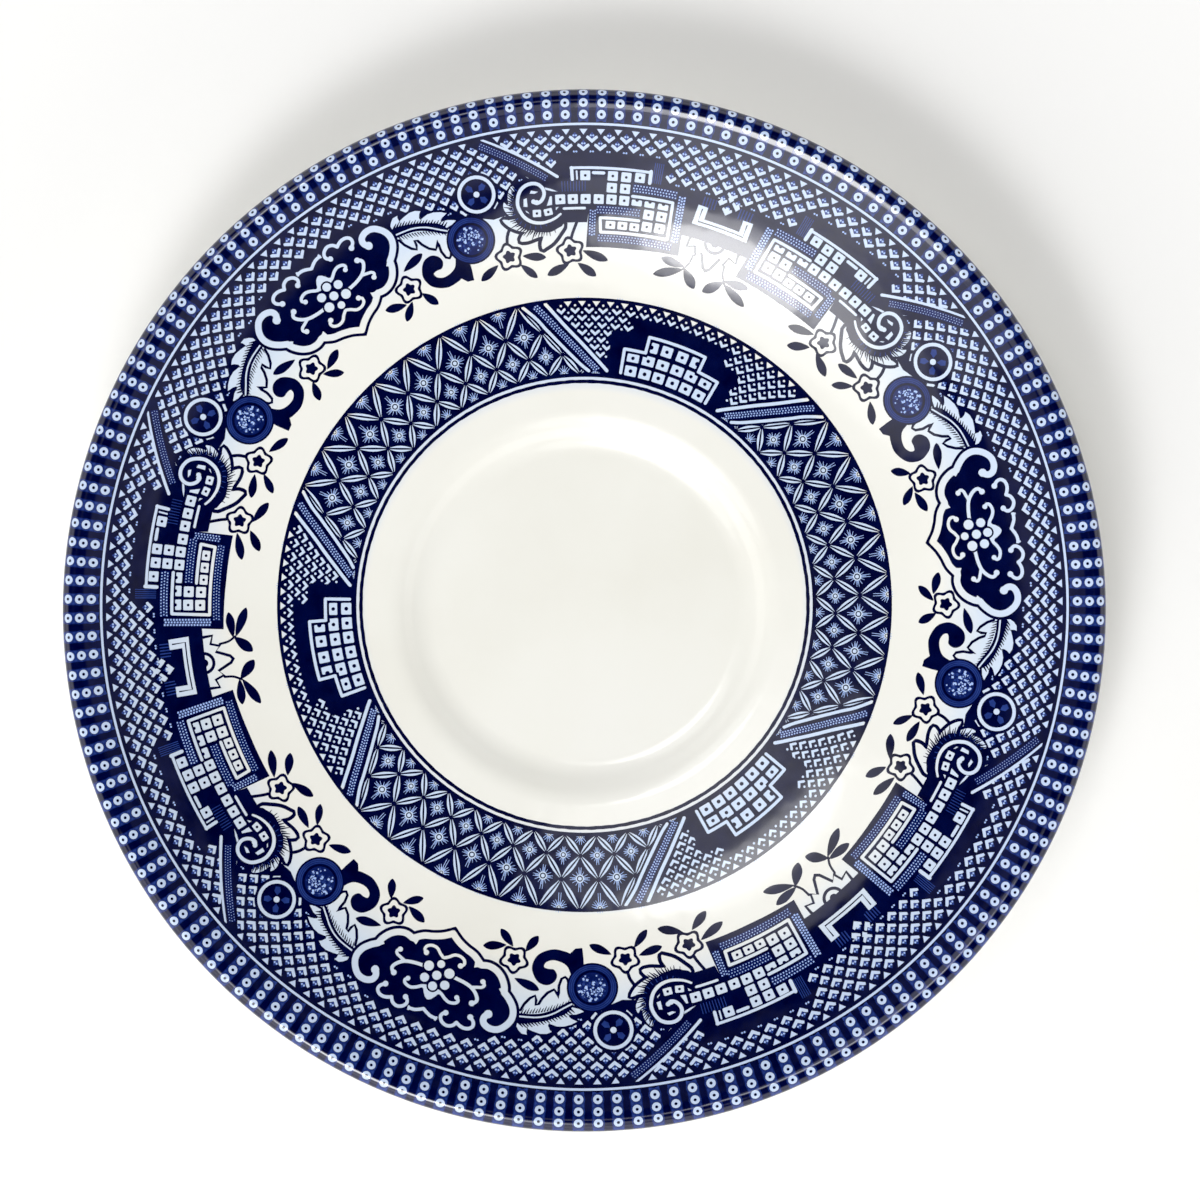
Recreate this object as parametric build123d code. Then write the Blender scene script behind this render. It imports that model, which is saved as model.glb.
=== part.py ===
from build123d import *
import os

# Transfer-printed earthenware cup saucer, in millimetres.
# Origin: centre of the foot ring's contact plane. +Z is up, out of the dish.
# Every piece is a solid of revolution about Z. The fired clay body carries four rings of
# underglaze print, and one coat of glaze seals the body and the prints, down to the bare foot.

# Driving dimensions
SAUCER_RADIUS = 70.0            # over the glaze
GLAZE_THICKNESS = 0.20
PRINT_THICKNESS = 0.05
BODY_RADIUS = SAUCER_RADIUS - GLAZE_THICKNESS

RIM_TOP = 19.20                 # height where the flare's face would meet the edge, unrounded
RIM_UNDER = 15.90               # the same, on the underside
RIM_TOP_ROUND = 1.0
RIM_UNDER_ROUND = 1.5

FLARE_ROOT = (49.0, 7.70)       # where the middle slope turns up into the flare
FLARE_ROOT_ROUND = 55.0
FLARE_ROOT_UNDER = (51.0, 5.20)
FLARE_ROOT_UNDER_ROUND = 46.0

WELL_SHOULDER = (25.6, 5.90)    # top edge of the cup well
WELL_SHOULDER_ROUND = 1.6
WELL_FLOOR_EDGE = (22.2, 3.90)
WELL_FLOOR_EDGE_ROUND = 2.5

UNDER_WELL_EDGE = (21.6, 1.50)  # the underside follows the well
UNDER_WELL_SHOULDER = (25.0, 2.70)
UNDER_WELL_ROUND = 3.0

FOOT_INNER_ROOT = (34.2, 2.90)
FOOT_INNER_EDGE = (34.9, 0.0)
FOOT_OUTER_EDGE = (37.9, 0.0)
FOOT_OUTER_ROOT = (38.8, 3.10)
FOOT_INNER_ROOT_ROUND = 1.0
FOOT_EDGE_ROUND = 0.5
FOOT_OUTER_ROOT_ROUND = 1.4
BARE_FOOT_HEIGHT = 0.45         # the glaze is wiped off the foot up to here

# Rings of print on the upper face: inner and outer radius of the zone that each one covers
CUP_RING = (30.0, 30.5)
INNER_BAND = (31.1, 41.5)
MAIN_BORDER = (44.7, 64.9)
BEAD_BORDER_INNER = 65.5
BEAD_BORDER_LOWEST = 17.2       # it rolls over the edge, down to this height

# The middle of the wall, from the axis to just outside the edge: print lies only above it
WALL_MIDDLE = [
    (0.0, (WELL_FLOOR_EDGE[1] + UNDER_WELL_EDGE[1]) / 2),
    ((FLARE_ROOT[0] + FLARE_ROOT_UNDER[0]) / 2, (FLARE_ROOT[1] + FLARE_ROOT_UNDER[1]) / 2),
    (SAUCER_RADIUS + 1.0, BEAD_BORDER_LOWEST),
]

# Spare height and radius for the windows that cut pieces out of a section
WINDOW = 30.0


def body_section():
    """Half section of the clay body in the XZ plane, from the axis out to the rim and back."""
    underside = [
        (0.0, UNDER_WELL_EDGE[1]),
        UNDER_WELL_EDGE,
        UNDER_WELL_SHOULDER,
        FOOT_INNER_ROOT,
        FOOT_INNER_EDGE,
        FOOT_OUTER_EDGE,
        FOOT_OUTER_ROOT,
        FLARE_ROOT_UNDER,
        (BODY_RADIUS, RIM_UNDER),
    ]
    upper_face = [
        (BODY_RADIUS, RIM_TOP),
        FLARE_ROOT,
        WELL_SHOULDER,
        WELL_FLOOR_EDGE,
        (0.0, WELL_FLOOR_EDGE[1]),
    ]
    corner_rounds = [
        UNDER_WELL_ROUND,
        UNDER_WELL_ROUND,
        FOOT_INNER_ROOT_ROUND,
        FOOT_EDGE_ROUND,
        FOOT_EDGE_ROUND,
        FOOT_OUTER_ROOT_ROUND,
        FLARE_ROOT_UNDER_ROUND,
        RIM_UNDER_ROUND,
        RIM_TOP_ROUND,
        FLARE_ROOT_ROUND,
        WELL_SHOULDER_ROUND,
        WELL_FLOOR_EDGE_ROUND,
    ]
    outline = FilletPolyline(*underside, *upper_face, radius=corner_rounds)
    axis_edge = Line(upper_face[-1], underside[0])
    return make_face([*outline.edges(), axis_edge])


def window(inner, outer, bottom=-WINDOW, top=WINDOW):
    """Rectangle of a section between two radii and two heights."""
    width, height = outer - inner, top - bottom
    return Pos((inner + outer) / 2, (bottom + top) / 2) * Rectangle(width, height)


def coat_section(body, thickness):
    """Section of a layer of even thickness over the whole body, kept on this side of the axis."""
    grown = offset(body, amount=thickness, kind=Kind.ARC)
    return (grown - body) & window(0.0, SAUCER_RADIUS + WINDOW)


def print_sections(body):
    """Section of each ring of print, a thin layer on the upper face."""
    sky = [(WALL_MIDDLE[-1][0], WINDOW), (0.0, WINDOW)]
    upper_side = make_face(Polyline(*WALL_MIDDLE, *sky, close=True))
    layer = coat_section(body, PRINT_THICKNESS) & upper_side
    return {
        "cup_ring_print": layer & window(*CUP_RING),
        "inner_band_print": layer & window(*INNER_BAND),
        "main_border_print": layer & window(*MAIN_BORDER),
        "bead_border_print": layer & window(
            BEAD_BORDER_INNER, SAUCER_RADIUS, BEAD_BORDER_LOWEST
        ),
    }


def glaze_sections(body, prints):
    """Sections of the glaze: over body and prints alike, and wiped off the foot ring's edge,
    which leaves the base inside the foot ring with a pool of its own."""
    glaze = coat_section(body, GLAZE_THICKNESS)
    for section in prints.values():
        glaze -= section
    foot_middle = (FOOT_INNER_EDGE[0] + FOOT_OUTER_EDGE[0]) / 2
    inside_wall = (FOOT_INNER_ROOT[1] + WELL_FLOOR_EDGE[1]) / 2
    under_base = window(0.0, foot_middle, top=inside_wall)
    bare_foot = window(FOOT_INNER_ROOT[0] - 1.0, FOOT_OUTER_ROOT[0] + 1.0, top=BARE_FOOT_HEIGHT)
    return {
        "glaze_coat": glaze - under_base - bare_foot,
        "base_glaze": (glaze & under_base) - bare_foot,
    }


def turned(section):
    """Turn a half section about Z into its solid."""
    return revolve(Plane.XZ * section, axis=Axis.Z)


def main():
    os.makedirs("parts", exist_ok=True)
    body = body_section()
    prints = print_sections(body)
    sections = {"biscuit_body": body, **glaze_sections(body, prints), **prints}
    for node, section in sections.items():
        export_step(turned(section), f"parts/{node}.step")


main()
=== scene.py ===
from math import atan2, ceil, cos, degrees, hypot, pi, radians, sin, sqrt, tan
from random import Random

import bpy
import numpy as np
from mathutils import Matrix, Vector
from mathutils.geometry import delaunay_2d_cdt


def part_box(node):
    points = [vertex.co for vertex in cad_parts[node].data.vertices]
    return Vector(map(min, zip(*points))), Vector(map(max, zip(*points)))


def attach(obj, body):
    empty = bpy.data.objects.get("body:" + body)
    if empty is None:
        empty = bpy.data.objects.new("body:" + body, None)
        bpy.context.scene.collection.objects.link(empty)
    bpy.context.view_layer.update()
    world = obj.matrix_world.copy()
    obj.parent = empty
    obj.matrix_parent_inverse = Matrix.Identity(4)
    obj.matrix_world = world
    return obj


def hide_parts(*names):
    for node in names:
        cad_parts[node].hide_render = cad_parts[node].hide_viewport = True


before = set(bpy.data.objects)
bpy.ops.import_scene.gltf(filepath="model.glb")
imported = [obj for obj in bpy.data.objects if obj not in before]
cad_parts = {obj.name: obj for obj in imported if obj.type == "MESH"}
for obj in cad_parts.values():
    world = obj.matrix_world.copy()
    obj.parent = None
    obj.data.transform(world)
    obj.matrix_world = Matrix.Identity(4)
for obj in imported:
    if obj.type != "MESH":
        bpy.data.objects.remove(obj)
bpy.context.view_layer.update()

# Blue-and-white printed saucer: a fired clay body, a coat of clear glaze, and a cobalt print in
# four rings. Clay and glaze are turned here from the CAD's section, with softer rounds at the
# crest and in the cup well. Each ring of print is drawn as flat shapes and laid on the glaze.
# Lengths are in millimetres until a mesh is made.

MM = 0.001

# ---------------------------------------------------------------- Section of the saucer, in mm
SAUCER_RADIUS = 70.0
GLAZE_THICKNESS = 0.20
BARE_FOOT_HEIGHT = 0.45     # the glaze is wiped off the foot up to here
# (radius, height) corners of the clay, and the round at each corner after the first
UPPER_FACE = [
    (0.0, 3.90), (22.2, 3.90), (25.6, 5.90), (49.0, 7.70), (67.5, 17.93), (69.8, 18.77),
]
UNDERSIDE = [
    (69.8, 15.90), (51.0, 5.20), (38.8, 3.10), (37.9, 0.0), (34.9, 0.0), (34.2, 2.90),
    (25.0, 2.70), (21.6, 1.50), (0.0, 1.50),
]
ROUNDS = [6.0, 6.0, 55.0, 2.5, 1.3, 1.5, 46.0, 1.4, 0.5, 0.5, 1.0, 3.0, 3.0]

# The print sits a little off the clay's centre, as a transfer laid by hand does
PRINT_SHIFT = 0.5
INK_LIFT = 0.02             # the ink stands this far off the glaze, so that it always shows
SEGMENTS = 288              # of the turned pieces
STRAIGHT_STEP = 2.0         # the rings of a turned piece are at most this far apart, in mm
ROUND_STEP = 0.5            # and on a round this far, in mm
ROUND_TURN = 7.0            # or this far, in degrees
EDGE_ROWS = 40              # rings past the crest, enough for the print that rolls over the edge
CLAY_GAP = 0.01             # the glaze's inner face stands this far off the clay
FOOT_SLOPE = 0.02           # how far the foot's side leans in from its last ring to the wiped edge


# ---------------------------------------------------------------- The print, drawn flat
# The print repeats three times round the saucer, and each repeat is its own mirror image, so
# one half of a repeat is drawn, from a fret's axis to the axis of the next cartouche or star.
# A point of a drawing is (angle, radius): degrees from the fret's axis, and millimetres.


class Drawing:
    """Shapes painted one over another. The last shape over a spot decides its ink there, and
    where that is "bare" the clay shows through the glaze."""

    def __init__(self, span, lowest, highest, edge_step, angle_step):
        self.span = span                # degrees from the fret's axis to the other axis
        self.lowest = lowest            # radii between which the drawing lies
        self.highest = highest
        self.edge_step = edge_step      # the mesh has a ring at least this often, in mm
        self.angle_step = angle_step    # and a spoke at least this often, in degrees
        self.shapes = []

    def fill(self, ink, points):
        self.shapes.append((ink, list(points)))

    def deep(self, points):
        self.fill("deep", points)

    def bare(self, points):
        self.fill("bare", points)

    def ground(self, corners):
        """A dark field, whose sides bend round the centre."""
        self.deep(along(corners + corners[:1]))

    def path(self, ink, corners, width):
        """A line in straight runs, each of which bends round the centre."""
        for start, end in zip(corners, corners[1:]):
            self.line(ink, along([start, end]), width)

    def strokes(self, count, angle, step, high, low, width, slope=0.0):
        """A row of fine strokes towards the centre."""
        for i in range(count):
            spoke = angle + step * i
            self.line("mid", [(spoke, high), (spoke, low + slope * i)], width, caps=False)

    def discs(self, ink, spots, sides=12, grow=0.0):
        for centre, radius in spots:
            self.disc(ink, centre, radius + grow, sides)

    def disc(self, ink, centre, radius, sides=12):
        self.fill(ink, around(centre, regular(radius, sides)))

    def ring(self, ink, centre, radius, width, sides=24):
        """A circular line. What lies inside it stays as it was."""
        circle = around(centre, regular(radius, sides))
        self.line(ink, circle + circle[:1], width, caps=False)

    def line(self, ink, points, width, caps=True):
        """A line through (angle, radius) points. A list of widths makes it swell and taper."""
        path = [plan(point) for point in points]
        widths = width if isinstance(width, list) else [width] * len(path)
        sides = []
        for i, (x, y) in enumerate(path):
            before, after = path[max(i - 1, 0)], path[min(i + 1, len(path) - 1)]
            if i in (0, len(path) - 1) and path[0] == path[-1]:
                before, after = path[-2], path[1]
            dx, dy = after[0] - before[0], after[1] - before[1]
            length = hypot(dx, dy) or 1.0
            nx, ny = -dy / length * widths[i] / 2, dx / length * widths[i] / 2
            sides.append(((x + nx, y + ny), (x - nx, y - ny)))
        for (left, right), (next_left, next_right) in zip(sides, sides[1:]):
            self.fill(ink, [polar(p) for p in convex((left, right, next_right, next_left))])
        if caps:
            for point, wide in ((points[0], widths[0]), (points[-1], widths[-1])):
                self.disc(ink, point, wide / 2, 8)


def convex(corners):
    """The corners in order round their middle, so that a tight bend doesn't cross a quad over."""
    x = sum(corner[0] for corner in corners) / len(corners)
    y = sum(corner[1] for corner in corners) / len(corners)
    return sorted(corners, key=lambda corner: atan2(corner[1] - y, corner[0] - x))


def plan(point):
    """The (x, y) of an (angle, radius) point, with the fret's axis along y."""
    angle, radius = point
    return (radius * sin(radians(angle)), radius * cos(radians(angle)))


def polar(spot):
    return (degrees(atan2(spot[0], spot[1])), hypot(*spot))


def around(centre, offsets, turn=0.0):
    """Points at offsets in millimetres (sideways, outward) from a centre, turned clockwise."""
    angle, radius = centre
    c, s = cos(radians(turn)), sin(radians(turn))
    points = []
    for side, out in offsets:
        x, y = side * c + out * s, out * c - side * s
        points.append((angle + degrees(atan2(x, radius + y)), hypot(x, radius + y)))
    return points


def regular(radius, sides):
    return [
        (radius * cos(2 * pi * i / sides), radius * sin(2 * pi * i / sides)) for i in range(sides)
    ]


def scaled(offsets, wide, tall):
    return [(side * wide, out * tall) for side, out in offsets]


def mirrored(offsets):
    """A half outline, from its top to its bottom, followed by its mirror image."""
    return list(offsets) + [(-side, out) for side, out in reversed(offsets) if side]


def curve(points, steps=5, closed=False):
    """A smooth line through points, as short straight runs."""
    n = len(points)
    runs = n if closed else n - 1
    out = []
    for i in range(runs):
        p0 = points[(i - 1) % n] if closed else points[max(i - 1, 0)]
        p1, p2 = points[i], points[(i + 1) % n]
        p3 = points[(i + 2) % n] if closed else points[min(i + 2, n - 1)]
        for k in range(steps):
            t = k / steps
            out.append(tuple(
                0.5 * (2 * b + (c - a) * t + (2 * a - 5 * b + 4 * c - d) * t * t
                       + (3 * b - a - 3 * c + d) * t ** 3)
                for a, b, c, d in zip(p0, p1, p2, p3)
            ))
    if not closed:
        out.append(points[-1])
    return out


def along(points, step=1.4):
    """The same line, with a point at least every step degrees, so that it follows the ring."""
    out = []
    for (a0, r0), (a1, r1) in zip(points, points[1:]):
        runs = max(1, ceil(abs(a1 - a0) / step))
        out += [(a0 + (a1 - a0) * i / runs, r0 + (r1 - r0) * i / runs) for i in range(runs)]
    return out + [points[-1]]


def swell(count, wide, thin):
    """Widths for a line that is wide in its middle and thin at both ends."""
    return [thin + (wide - thin) * sin(pi * i / (count - 1)) for i in range(count)]


# Angles just past both axes of a half repeat: what lies there is cut off
LEFT, RIGHT = -1.0, 61.0


def belt(low, high):
    """All that lies between two radii, as an outline."""
    return [(LEFT, low), (RIGHT, low), (RIGHT, high), (LEFT, high)]


# ---- Small motifs

def chevron_trellis(art, pitch, row, top, bottom, size, inside, twin_dots=True):
    """Rows of staggered chevrons that point to the centre, with one light dot or two over each,
    in the meshes of a dark lattice. The first row, against the edge, is cut to triangles."""
    chevron = mirrored([(0, 0), (0.78, 0.72), (0.66, 1.02), (0.4, 0.94), (0, 0.56)])
    triangle = [(-0.62, 0), (0.62, 0), (0, -0.86)]
    mesh = mirrored([(0, 0.58), (0.4, 1.04), (0, 1.5)])
    rows = int((top - bottom) / row) + 1
    columns = int(art.span / pitch) + 2
    for j in range(rows + 1):
        tip = top - 0.90 * size - j * row
        for i in range(-1, columns):
            angle = (i + (0.0 if j % 2 else 0.5)) * pitch
            if j == 0:
                if inside((angle, top - 0.5)):
                    art.bare(around((angle, top), scaled(triangle, size, size)))
                continue
            # Outer chevrons are the larger ones, and no two are quite alike
            wide = size * (1.0 + 0.035 * (tip - 59.0) * twin_dots + 0.05 * sin(7.1 * i + 3.7 * j))
            if inside((angle, tip + 0.4)):
                if twin_dots:
                    art.fill("mid", around((angle, tip), scaled(mesh, size, size)))
                art.bare(around((angle, tip), scaled(chevron, wide, size)))
            dot = (angle, tip + 1.16 * size)
            if inside(dot) and twin_dots:
                for side in (-0.17, 0.17):
                    spot = around(dot, [(side * size, -0.12 * size)])[0]
                    art.fill("pale", around(spot, scaled(regular(0.16, 4), size, size), 20.0))
            elif inside(dot):
                art.disc("bare", around(dot, [(0, 0.2)])[0], 0.17, 8)


def cell(art, centre, width=1.38, height=1.32, dot=0.19, turn=0.0, notch=False):
    """A white square with a dark dot, or with its dot cut open at the top."""
    w, h, c = width / 2, height / 2, 0.10
    corners = [
        (-w + c, -h), (w - c, -h), (w, -h + c), (w, h - c),
        (w - c, h), (-w + c, h), (-w, h - c), (-w, -h + c),
    ]
    art.bare(around(centre, corners, turn))
    hole = (centre[0], centre[1] + (h if notch else 0.0))
    if dot:
        art.disc("deep", hole, dot * (1.25 if notch else 1.0), 10)


def dotted_hatch(art, start, end, width, rows, pitch, dot):
    """A strip of blue with rows of small pale squares, from start to end."""
    art.line("blue", along([start, end]), width, caps=False)
    (x0, y0), (x1, y1) = plan(start), plan(end)
    length = hypot(x1 - x0, y1 - y0)
    count = max(1, int(length / pitch))
    square = regular(dot * 0.85, 4)
    for i in range(count):
        for j in range(rows):
            t = (i + 0.5 + (0.25 if j % 2 else -0.25) * 0.6) / count
            angle = start[0] + (end[0] - start[0]) * t
            radius = start[1] + (end[1] - start[1]) * t
            side = ((j + 0.5) / rows - 0.5) * width
            nx, ny = -(y1 - y0) / length * side, (x1 - x0) / length * side
            # The sideways step follows the strip where it bends round the centre
            bend = radians(angle) - atan2((x0 + x1) / 2, (y0 + y1) / 2)
            step = (nx * cos(bend) + ny * sin(bend), ny * cos(bend) - nx * sin(bend))
            x, y = plan((angle, radius))
            art.fill("pale", around(polar((x + step[0], y + step[1])), square, 45.0))


def flower(art, centre, turn):
    """Five round petals in outline, about a dark star."""
    for ink, size, wave in (("deep", 1.78, 0.24), ("bare", 1.38, 0.23), ("deep", 0.76, 0.13)):
        lobes = []
        for i in range(40):
            t = 2 * pi * i / 40
            reach = size + wave * cos(5 * t)
            lobes.append((reach * sin(t + radians(turn)), reach * cos(t + radians(turn))))
        art.fill(ink, around(centre, lobes))


def leaf(art, stalk, tip, width):
    """A solid pointed leaf between two points, fullest past its middle."""
    (x0, y0), (x1, y1) = plan(stalk), plan(tip)
    length = hypot(x1 - x0, y1 - y0)
    ux, uy = (x1 - x0) / length, (y1 - y0) / length
    profile = [(0, 0.05), (0.2, 0.3), (0.45, 0.48), (0.68, 0.5), (0.88, 0.32), (1, 0.08)]
    left = [(x0 + ux * length * t - uy * width * w, y0 + uy * length * t + ux * width * w)
            for t, w in profile]
    right = [(x0 + ux * length * t + uy * width * w, y0 + uy * length * t - ux * width * w)
             for t, w in profile]
    art.deep(curve([polar(p) for p in left + right[::-1]], 3, closed=True))


# ---- The wide border

BORDER_SPAN = 59.6          # degrees of one half repeat, as drawn
TRELLIS_PITCH = BORDER_SPAN / 28
TRELLIS_ROW = 1.09
TRELLIS_TOP = 64.2


def trellis_ground(point):
    """True where the trellis of the wide border shows above the motifs."""
    angle, radius = point
    lower_edge = [
        (-3, 55), (1.2, 55.2), (1.3, 57.6), (6, 57.8), (9.2, 57.4), (9.4, 60.9), (23.6, 60.9), (23.7, 58),
        (29, 57.6), (30.5, 56.4), (32.5, 54.8), (34.5, 54.3), (40, 55.4), (42, 57.2), (48, 58.6),
        (51.5, 59.4), (54, 60.3), (63, 60.5),
    ]
    angles = [a for a, _ in lower_edge]
    i = max(k for k in range(len(angles) - 1) if angles[k] <= angle)
    (a0, r0), (a1, r1) = lower_edge[i], lower_edge[i + 1]
    return TRELLIS_TOP > radius > r0 + (r1 - r0) * (angle - a0) / (a1 - a0)


def draw_trellis(art):
    ground = [(-2, 64.9), (62, 64.9), (62, 58), (51, 57), (48, 57), (41, 54.5)]
    ground += [(36, 54), (33.5, 53.2), (30, 53.6), (26, 54), (10, 55), (-2, 54.8)]
    art.deep(along(ground))
    chevron_trellis(art, TRELLIS_PITCH, TRELLIS_ROW, TRELLIS_TOP, 54.0, 1.0, trellis_ground)


def draw_fret_centre(art):
    """The U on the fret's axis, in its dark field, with the half flower under it."""
    field = [(1.35, 57.6), (5.9, 57.4), (5.3, 51.4), (-5.3, 51.4), (-1.35, 57.6), (0, 55)]
    art.deep(field)
    art.strokes(5, 1.75, 0.42, 57.3, 55.9, 0.16, slope=-0.1)
    u_shape = [
        (-3.9, 2), (-3.9, -0.75), (3.9, -0.75), (3.9, 2), (2.5, 2), (2.5, 0.32), (-2.5, 0.32), (-2.5, 2),
    ]
    art.bare(around((0, 53.9), u_shape))
    groove = [(-3.2, 1.6), (-3.2, -0.2), (3.2, -0.2), (3.2, 1.6)]
    art.line("deep", around((0, 53.9), groove), 0.17, caps=False)
    for angle, radius in ((0, 56.3), (0, 58), (1.15, 57.2)):
        art.bare(around((angle, radius), [(-0.42, 0), (0, 0.62), (0.42, 0), (0, -0.5)]))
    # The half flower
    petals = [
        (-0.3, 47.45), (0.55, 48), (1.5, 49.85), (2.3, 49.2), (2.75, 50.45), (4, 50.1), (3.85, 51.5),
    ]
    art.line("deep", petals, 0.40)
    art.ring("deep", (0, 51.6), 1.30, 0.42)
    art.disc("deep", (0, 51.6), 0.55)
    art.deep([(-2, 51.9), (5.3, 51.9), (5.3, 51.4), (-2, 51.4)])
    # Its sprig
    art.line("deep", curve([(2.6, 49.2), (2.85, 48), (3.55, 47)]), 0.30)
    leaf(art, (3.5, 47.3), (7.45, 47.75), 1.15)
    leaf(art, (3.6, 46.9), (8.15, 45.35), 1.2)
    leaf(art, (3.4, 47.1), (0.8, 44.9), 1.35)


def draw_hatched_frame(art):
    """The frame of hatched strips, with its white line and the cells inside it."""
    art.ground([
        (5.85, 57.2), (13.6, 57.2), (13.6, 53.9), (19.4, 53.9), (19.85, 48.05), (12.35, 48.15),
        (4.85, 48.5),
    ])
    strips = [
        ((6.42, 56.5), (6.05, 50.1), 1.05, 0.195),
        ((7.2, 56.45), (13.4, 56.45), 1.15, 0.150),
        ((11.9, 53.2), (18.4, 53.2), 1.15, 0.120),
        ((6.3, 49.4), (18.1, 49.35), 1.05, 0.115),
        ((18.85, 53.2), (18.95, 49.6), 0.95, 0.145),
    ]
    for start, end, width, dot in strips:
        dotted_hatch(art, start, end, width, 3, 0.40, dot)
    art.path("bare", [
        (13.3, 55.35), (7.55, 55.38), (7.2, 50.3), (17.6, 50.15), (17.75, 52.1), (11.95, 52.15),
    ], 0.42)
    for angle in (8.79, 10.74, 12.6):
        cell(art, (angle, 54.52), 1.42, 0.82, notch=True)
    for angle, radius in ((8.74, 53.18), (10.66, 53.13), (8.69, 51.56), (10.62, 51.48)):
        cell(art, (angle, radius), 1.42, 1.34)
    for angle in (12.5, 14.33, 16.15):
        cell(art, (angle, 51.2), 1.32, 1.08)


def draw_upper_field(art):
    """The dark field beside the frame, with its white bracket and a column of cells."""
    art.ground([
        (9.4, 60.85), (23.7, 60.85), (23.75, 57.6), (25.6, 56.6), (25.4, 53.6), (23.6, 51.45),
        (19.7, 51.45), (19.3, 53.9), (11.5, 53.9), (11.5, 57.1), (9.4, 57.1),
    ])
    art.strokes(5, 9.75, 0.27, 60.3, 57.5, 0.12)
    art.strokes(9, 20.0, 0.4, 57.1, 55.7, 0.10)
    art.path("bare", [(11.3, 58.87), (21.9, 58.87)], 0.38)
    art.line("bare", [(11.25, 59), (11.2, 57.45)], 0.52)
    art.line("bare", [(21.8, 58.9), (21.75, 57.3)], 0.46)
    art.line("bare", [(21.15, 58.4), (21.1, 57.35)], 0.24)
    art.path("bare", [(17.5, 58.2), (18.9, 58.2)], 0.44)
    for angle, radius in ((12.6, 57.95), (14.45, 57.82), (16.27, 57.85), (14.45, 56.25),
                          (16.3, 56.25), (14.42, 54.63), (16.24, 54.66), (18.06, 54.63),
                          (19.93, 54.63), (21.75, 54.63), (19.98, 57.82)):
        cell(art, (angle, radius))
    art.path("bare", [(20.05, 53.38), (23.1, 53.38)], 0.36)


def draw_slanted_band(art):
    """The dark band that climbs from the scroll to the rim, under a white line."""
    band = [
        (23.6, 57.7), (28.2, 60.9), (32.9, 64.5), (35.2, 64.5), (33.3, 62.6), (31.4, 61), (29.7, 59.5),
        (27.6, 57.9), (25.4, 56.4),
    ]
    art.deep(band)
    dotted_hatch(art, (25.2, 57.6), (33.2, 63.4), 0.95, 3, 0.36, 0.085)
    art.line("bare", [(23.75, 57.75), (28.2, 60.95), (32.7, 64.1)], [0.42, 0.36, 0.30])


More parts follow.
